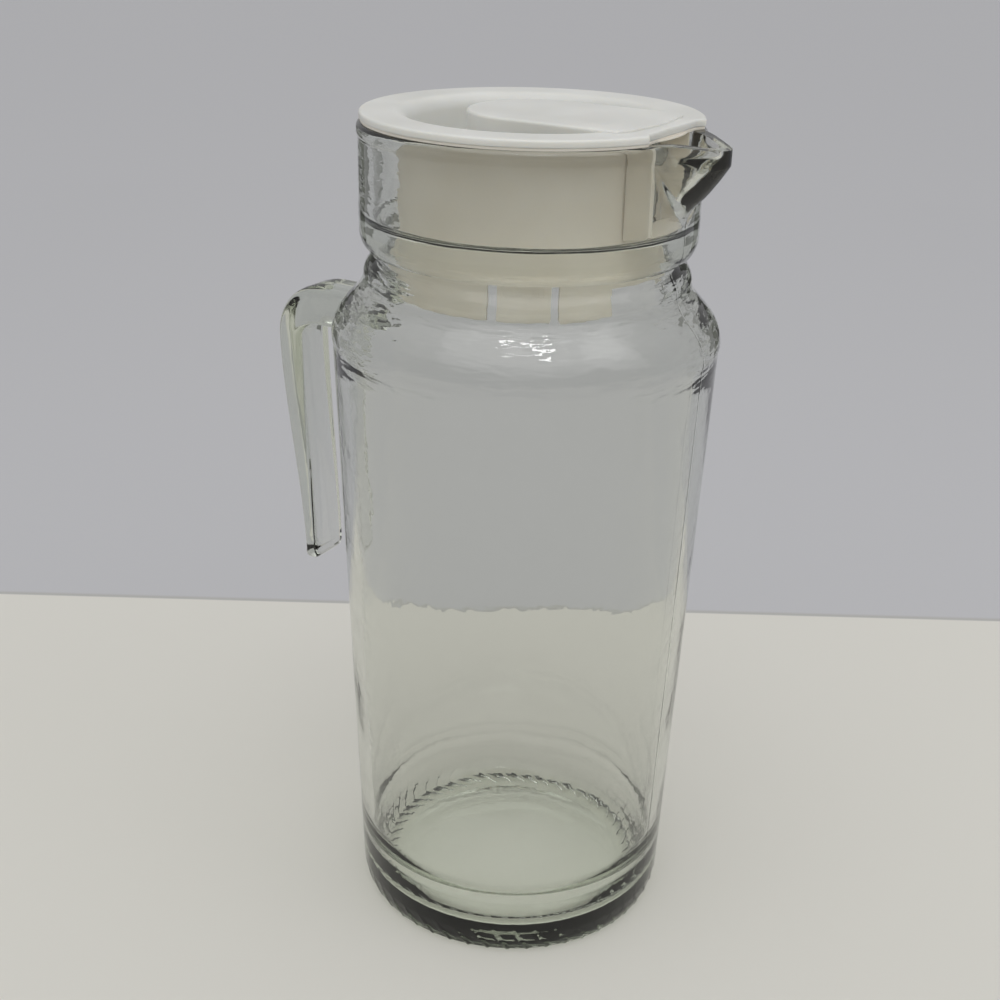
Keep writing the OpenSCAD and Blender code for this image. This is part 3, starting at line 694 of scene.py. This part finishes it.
def pressedGlass(v):
    # Pressed soda-lime glass: clear and hard-edged, green where it is thick, with the faint ripple of the mould
    m = newMaterial("sodaLimeGlass")
    place = addNode(m, "ShaderNodeTexCoord").outputs["Object"]
    ripple = addNode(m, "ShaderNodeTexNoise", {"Scale": 1 / (v["rippleSize"] * mm), "Detail": 1.0}, {"Vector": place})
    slow = addNode(m, "ShaderNodeTexNoise", {"Scale": 1 / (v["orangeSize"] * mm), "Detail": 1.0}, {"Vector": place})
    first = addNode(m, "ShaderNodeBump", {"Strength": 1.0, "Distance": v["rippleDepth"] * mm},
                    {"Height": ripple.outputs["Fac"]})
    bump = addNode(m, "ShaderNodeBump", {"Strength": 1.0, "Distance": v["orangeDepth"] * mm},
                   {"Height": slow.outputs["Fac"], "Normal": first.outputs["Normal"]})
    # Flat streaks left by the press on the shoulder and the neck, fainter on the collar
    up = addNode(m, "ShaderNodeSeparateXYZ", None, {"Vector": place}).outputs["Z"]
    flat = addNode(m, "ShaderNodeMapping", {"Scale": (1, 1, v["streakFlat"])}, {"Vector": place}).outputs["Vector"]
    streak = addNode(m, "ShaderNodeTexNoise", {"Scale": 1 / (v["streakSize"] * mm), "Detail": 2.0}, {"Vector": flat})
    start = addNode(m, "ShaderNodeMapRange", {
        "From Min": v["streakLow"] * mm, "From Max": (v["streakLow"] + 10) * mm, "interpolation_type": "SMOOTHSTEP",
    }, {"Value": up})
    fade = addNode(m, "ShaderNodeMapRange", {
        "From Min": v["streakHigh"] * mm, "From Max": (v["streakHigh"] + 4) * mm,
        "To Min": 1.0, "To Max": v["streakCollar"],
    }, {"Value": up})
    where = addNode(m, "ShaderNodeMath", {"operation": "MULTIPLY"},
                    {0: start.outputs["Result"], 1: fade.outputs["Result"]})
    pressed = addNode(m, "ShaderNodeMath", {"operation": "MULTIPLY"}, {0: streak.outputs["Fac"], 1: where.outputs[0]})
    marks = addNode(m, "ShaderNodeBump", {"Strength": 1.0, "Distance": v["streakDepth"] * mm},
                    {"Height": pressed.outputs[0], "Normal": bump.outputs["Normal"]})
    glass = addNode(m, "ShaderNodeBsdfPrincipled", {
        "Base Color": toLinear(v["tint"]), "Roughness": v["roughness"], "IOR": v["ior"], "Transmission Weight": 1.0,
    }, {"Normal": marks.outputs["Normal"]})
    clear = addNode(m, "ShaderNodeBsdfTransparent", {"Color": toLinear(v["shade"])})
    rays = addNode(m, "ShaderNodeLightPath")
    mix = addNode(m, "ShaderNodeMixShader")
    m.node_tree.links.new(rays.outputs["Is Shadow Ray"], mix.inputs[0])
    m.node_tree.links.new(glass.outputs[0], mix.inputs[1])
    m.node_tree.links.new(clear.outputs[0], mix.inputs[2])
    absorb = addNode(m, "ShaderNodeVolumeAbsorption", {"Color": toLinear(v["depth"]), "Density": v["density"]})
    addNode(m, "ShaderNodeOutputMaterial", None, {"Surface": mix.outputs[0], "Volume": absorb.outputs[0]})
    return m


whiteLook = {
    "pale": "#E0E0DC", "dull": "#DADAD5", "roughness": 0.36, "roughSpread": 0.08, "scatter": 0.55,
    "grain": 0.5, "grainDepth": 0.006, "cloud": 22.0, "scatterRadius": 2.2,
}
creamLook = {
    "pale": "#F7F0E4", "dull": "#EEE6D8", "roughness": 0.42, "roughSpread": 0.08, "scatter": 0.3,
    "grain": 0.6, "grainDepth": 0.008, "cloud": 26.0, "scatterRadius": 2.6,
}


def mouldedPlastic(name, v):
    # Moulded polyethylene: waxy and slightly see-through, satin, with a fine moulded grain
    m = newMaterial(name)
    place = addNode(m, "ShaderNodeTexCoord").outputs["Object"]
    cloud = addNode(m, "ShaderNodeTexNoise", {"Scale": 1 / (v["cloud"] * mm), "Detail": 2.0}, {"Vector": place})
    grain = addNode(m, "ShaderNodeTexNoise", {"Scale": 1 / (v["grain"] * mm), "Detail": 2.0}, {"Vector": place})
    colour = addNode(m, "ShaderNodeValToRGB", None, {"Fac": cloud.outputs["Fac"]})
    colour.color_ramp.elements[0].position = 0.35
    colour.color_ramp.elements[0].color = toLinear(v["dull"])
    colour.color_ramp.elements[1].position = 0.65
    colour.color_ramp.elements[1].color = toLinear(v["pale"])
    rough = addNode(m, "ShaderNodeMapRange", {
        "From Min": 0.3, "From Max": 0.7,
        "To Min": v["roughness"] - v["roughSpread"], "To Max": v["roughness"] + v["roughSpread"],
    }, {"Value": cloud.outputs["Fac"]})
    bump = addNode(m, "ShaderNodeBump", {"Strength": 1.0, "Distance": v["grainDepth"] * mm},
                   {"Height": grain.outputs["Fac"]})
    plastic = addNode(m, "ShaderNodeBsdfPrincipled", {
        "IOR": 1.51, "Subsurface Weight": v["scatter"], "Subsurface Radius": (1.0, 0.9, 0.75),
        "Subsurface Scale": v["scatterRadius"] * mm,
    }, {"Base Color": colour.outputs["Color"], "Roughness": rough.outputs["Result"], "Normal": bump.outputs["Normal"]})
    addNode(m, "ShaderNodeOutputMaterial", None, {"Surface": plastic.outputs[0]})
    return m


glassMaterial = pressedGlass(glassLook)
whiteMaterial = mouldedPlastic("whitePolyethylene", whiteLook)
creamMaterial = mouldedPlastic("creamPolyethylene", creamLook)
pieces = (
    (jugGlass, glassMaterial, "jug", "glass_jug", "clear_glass"),
    (lidCap, whiteMaterial, "cap", "lid_cap", "white_plastic"),
    (pourInsert, creamMaterial, "insert", "pour_insert", "cream_plastic"),
)
for piece, material, body, node, slot in pieces:
    piece.data.materials.clear()
    piece.data.materials.append(material)
    for face in piece.data.polygons:
        face.material_index = 0
    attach(piece, body)
    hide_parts(node)
    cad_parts[node].data.materials.clear()
    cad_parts[node].data.materials.append(material)
print("materials set")


# Stage: a table with a grey sheet behind the jug, one flat floor in all, with a painted line of shade where the sheet
# begins
stage = {
    # The edge colour is painted shade: a darker line along the start of the sheet, standing for the shadow in the
    # corner of table and wall
    "table": "#DDDBD4", "sheet": "#C2C2C5", "edge": "#B6B5B2", "size": 12.0, "gap": 0.00002,
    "sheetFrom": 0.179, "sheetTurn": 30.0, "sheetBlur": 0.0006, "cornerShadeWidth": 0.0035, "cornerShadeBlur": 0.001,
    "pool": "#FCFBF6", "poolRadius": 0.0445, "poolCore": 0.8,
}


def makeFloor(v):
    bm = bmesh.new()
    bmesh.ops.create_grid(bm, x_segments=1, y_segments=1, size=v["size"])
    bmesh.ops.translate(bm, verts=bm.verts, vec=(0, 0, -v["gap"]))
    floor = finishObject(bm, "floor")
    m = newMaterial("tableTop")
    place = addNode(m, "ShaderNodeTexCoord").outputs["Object"]
    turn = addNode(m, "ShaderNodeMapping", {"Rotation": (0, 0, radians(-v["sheetTurn"]))}, {"Vector": place})
    along = addNode(m, "ShaderNodeSeparateXYZ", None, {"Vector": turn.outputs["Vector"]}).outputs["Y"]
    far = addNode(m, "ShaderNodeMapRange", {
        "From Min": v["sheetFrom"] - v["sheetBlur"], "From Max": v["sheetFrom"] + v["sheetBlur"],
    }, {"Value": along})
    # A thin band just past the sheet's start takes the edge colour: the painted line of shade at the corner
    line = addNode(m, "ShaderNodeMapRange", {
        "From Min": v["sheetFrom"] + v["cornerShadeWidth"], "From Max": v["sheetFrom"] + v["cornerShadeBlur"],
    }, {"Value": along})
    edge = addNode(m, "ShaderNodeMath", {"operation": "MULTIPLY"},
                   {0: far.outputs["Result"], 1: line.outputs["Result"]})
    both = addNode(m, "ShaderNodeMix", {"data_type": "RGBA"}, {0: far.outputs["Result"]})
    both.inputs[6].default_value = toLinear(v["table"])
    both.inputs[7].default_value = toLinear(v["sheet"])
    shade = addNode(m, "ShaderNodeMix", {"data_type": "RGBA"}, {0: edge.outputs[0], 6: both.outputs[2]})
    shade.inputs[7].default_value = toLinear(v["edge"])
    # A paler disc under the jug stands for the light that its base gathers on the table
    reach = addNode(m, "ShaderNodeVectorMath", {"operation": "LENGTH"}, {0: place}).outputs["Value"]
    near = addNode(m, "ShaderNodeMapRange", {
        "From Min": v["poolRadius"], "From Max": v["poolRadius"] * v["poolCore"],
    }, {"Value": reach})
    lit = addNode(m, "ShaderNodeMix", {"data_type": "RGBA"}, {0: near.outputs["Result"], 6: shade.outputs[2]})
    lit.inputs[7].default_value = toLinear(v["pool"])
    matte = addNode(m, "ShaderNodeBsdfPrincipled", {"Roughness": 0.9, "Specular IOR Level": 0.1},
                    {"Base Color": lit.outputs[2]})
    addNode(m, "ShaderNodeOutputMaterial", None, {"Surface": matte.outputs[0]})
    floor.data.materials.append(m)


makeFloor(stage)


# Two grey cards behind the jug, unseen themselves, that darken the edges of the glass
cards = {
    "side": 0.42, "near": 0.48, "far": 1.1, "low": 0.001, "high": 0.2, "turn": 30.0, "shade": "#84867F",
}


def makeCards(v):
    bm = bmesh.new()
    turn = Matrix.Rotation(radians(v["turn"]), 3, "Z")
    for side in (-v["side"], v["side"]):
        near, far = (side, v["near"]), (side, v["far"])
        corners = [near + (v["low"],), far + (v["low"],), far + (v["high"],), near + (v["high"],)]
        bm.faces.new([bm.verts.new(turn @ Vector(c)) for c in corners])
    sheets = finishObject(bm, "darkCards")
    m = newMaterial("greyCard")
    matte = addNode(m, "ShaderNodeBsdfPrincipled", {
        "Base Color": toLinear(v["shade"]), "Roughness": 0.9, "Specular IOR Level": 0.1,
    })
    addNode(m, "ShaderNodeOutputMaterial", None, {"Surface": matte.outputs[0]})
    sheets.data.materials.append(m)
    sheets.visible_camera = False
    sheets.visible_diffuse = False
    sheets.visible_shadow = False


makeCards(cards)


# Light: a pale room, dimmer behind the camera, with a panel and a tube overhead and a soft lamp at the side
room = {
    "seen": "#C4C4C6", "fill": 0.53, "back": 0.42, "front": 0.2, "ceiling": 0.75, "turn": -30.0,
}
sunLamp = {"aim": (-0.25, 0.35, -1.0), "strength": 0.75, "angle": 80.0}
lamps = (
    {"name": "panel", "place": (0.10, -0.25, 1.35), "aim": (0, 0, 0.15), "size": (0.95, 0.30), "power": 0.8},
    {"name": "tube", "place": (0.25, -0.44, 1.25), "aim": (0, 0, 0.2), "size": (0.5, 0.03), "power": 0.7},
    {"name": "sideSoft", "place": (0.85, 0.10, 0.90), "aim": (0, 0, 0.15), "size": (0.5, 0.7), "power": 0.7},
)


def makeWorld(v):
    # What glass and gloss show differs by direction; what lights the rough surfaces is one even level
    world = bpy.data.worlds.new("room")
    world.use_nodes = True
    bpy.context.scene.world = world
    tree = world.node_tree
    tree.nodes.clear()
    rays = addNode(world, "ShaderNodeLightPath")
    way = addNode(world, "ShaderNodeTexCoord").outputs["Generated"]
    turned = addNode(world, "ShaderNodeMapping", {"Rotation": (0, 0, radians(v["turn"]))}, {"Vector": way})
    parts = addNode(world, "ShaderNodeSeparateXYZ", None, {"Vector": turned.outputs["Vector"]})
    facing = addNode(world, "ShaderNodeMapRange", {
        "From Min": -0.55, "From Max": 0.35, "To Min": v["front"], "To Max": v["back"],
        "interpolation_type": "SMOOTHSTEP",
    }, {"Value": parts.outputs["Y"]})
    high = addNode(world, "ShaderNodeMapRange", {
        "From Min": 0.45, "From Max": 0.8, "To Min": 0.0, "To Max": 1.0, "interpolation_type": "SMOOTHSTEP",
    }, {"Value": parts.outputs["Z"]})
    level = addNode(world, "ShaderNodeMix", {"data_type": "FLOAT"})
    tree.links.new(high.outputs["Result"], level.inputs[0])
    tree.links.new(facing.outputs["Result"], level.inputs[2])
    level.inputs[3].default_value = v["ceiling"]
    shown = addNode(world, "ShaderNodeBackground", {"Color": toLinear(v["seen"]), "Strength": 1.0})
    glossy = addNode(world, "ShaderNodeBackground", {"Color": (1, 1, 1, 1)}, {"Strength": level.outputs[0]})
    fill = addNode(world, "ShaderNodeBackground", {"Color": (1, 1, 1, 1), "Strength": v["fill"]})
    mirrored = addNode(world, "ShaderNodeMath", {"operation": "MAXIMUM"})
    tree.links.new(rays.outputs["Is Glossy Ray"], mirrored.inputs[0])
    tree.links.new(rays.outputs["Is Transmission Ray"], mirrored.inputs[1])
    rough = addNode(world, "ShaderNodeMath", {"operation": "LESS_THAN"}, {0: rays.outputs["Diffuse Depth"]})
    rough.inputs[1].default_value = 0.5
    bounced = addNode(world, "ShaderNodeMath", {"operation": "MULTIPLY"}, {0: mirrored.outputs[0], 1: rough.outputs[0]})
    first = addNode(world, "ShaderNodeMixShader", None,
                    {0: bounced.outputs[0], 1: fill.outputs[0], 2: glossy.outputs[0]})
    second = addNode(world, "ShaderNodeMixShader", None,
                     {0: rays.outputs["Is Camera Ray"], 1: first.outputs[0], 2: shown.outputs[0]})
    addNode(world, "ShaderNodeOutputWorld", None, {"Surface": second.outputs[0]})


def addLamp(data, name, place, way):
    lamp = bpy.data.objects.new(name, data)
    lamp.location = place
    lamp.rotation_euler = way.to_track_quat("-Z", "Y").to_euler()
    bpy.context.scene.collection.objects.link(lamp)


def makeLamps(sun, rows):
    data = bpy.data.lights.new("softSky", "SUN")
    data.energy = sun["strength"]
    data.angle = radians(sun["angle"])
    addLamp(data, "softSky", (0, 0, 2), Vector(sun["aim"]))
    for row in rows:
        data = bpy.data.lights.new(row["name"], "AREA")
        data.shape = "RECTANGLE"
        data.size, data.size_y = row["size"]
        data.energy = row["power"]
        addLamp(data, row["name"], row["place"], Vector(row["aim"]) - Vector(row["place"]))


makeWorld(room)
makeLamps(sunLamp, lamps)
glassBounces = 24  # enough for light to get through every wall of the jug
bpy.context.scene.cycles.max_bounces = glassBounces
bpy.context.scene.cycles.transmission_bounces = glassBounces
bpy.context.scene.cycles.transparent_max_bounces = glassBounces
print("stage and light set")
